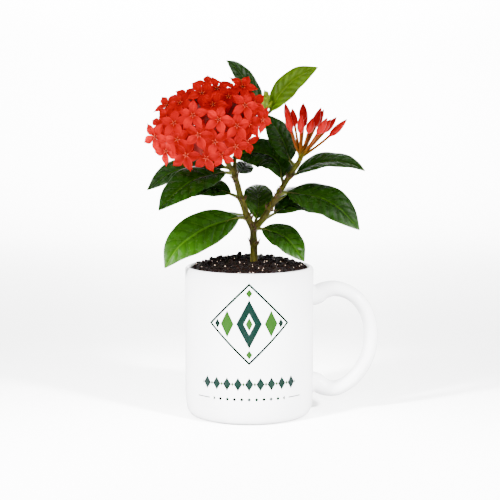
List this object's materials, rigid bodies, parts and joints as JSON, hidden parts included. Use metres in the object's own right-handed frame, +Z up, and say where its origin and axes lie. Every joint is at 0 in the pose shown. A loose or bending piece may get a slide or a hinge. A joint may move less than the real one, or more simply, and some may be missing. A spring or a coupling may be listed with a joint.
{
  "type": "potted ixora plant",
  "caption": "Bushy flowering ixora with glossy leaves, a dense red flower head and closed buds, growing in soil in a white mug with a loop handle.",
  "frame": {"origin": "centre of the mug's flat base, on the surface it stands on", "axes": "+Z up along the mug's axis, +X towards the handle, -Y towards the side that the flower head leans to"},
  "size_m": [0.1478, 0.1108, 0.2254],
  "materials": {
    "mug_glaze": "gloss",
    "soil": "matte",
    "stem_bark": "matte",
    "leaf_green": "satin",
    "young_leaf_green": "satin",
    "petal_red": "satin",
    "bud_red": "satin",
    "shoot_green": "satin"
  },
  "bodies": {
    "root": {"mug": "mug_glaze", "soil": "soil", "stem": "stem_bark", "leaf_low_left": "leaf_green", "leaf_low_right": "leaf_green", "leaf_mid_left_front": "leaf_green", "leaf_mid_left_back": "leaf_green", "leaf_mid_left_under": "leaf_green", "leaf_centre": "leaf_green", "leaf_mid_right": "leaf_green", "leaf_mid_right_back": "leaf_green", "leaf_top_right": "leaf_green", "leaf_centre_back": "leaf_green", "leaf_behind_buds": "leaf_green", "leaf_behind_head": "leaf_green", "leaf_top_left": "young_leaf_green", "leaf_top_right_up": "young_leaf_green", "leaf_back_low": "leaf_green", "leaf_back_right": "leaf_green", "leaf_back_left": "leaf_green", "leaf_back_top": "leaf_green", "flower_head": "petal_red", "bud_cluster": "bud_red", "shoot_tip": "shoot_green"}
  },
  "joints": []
}
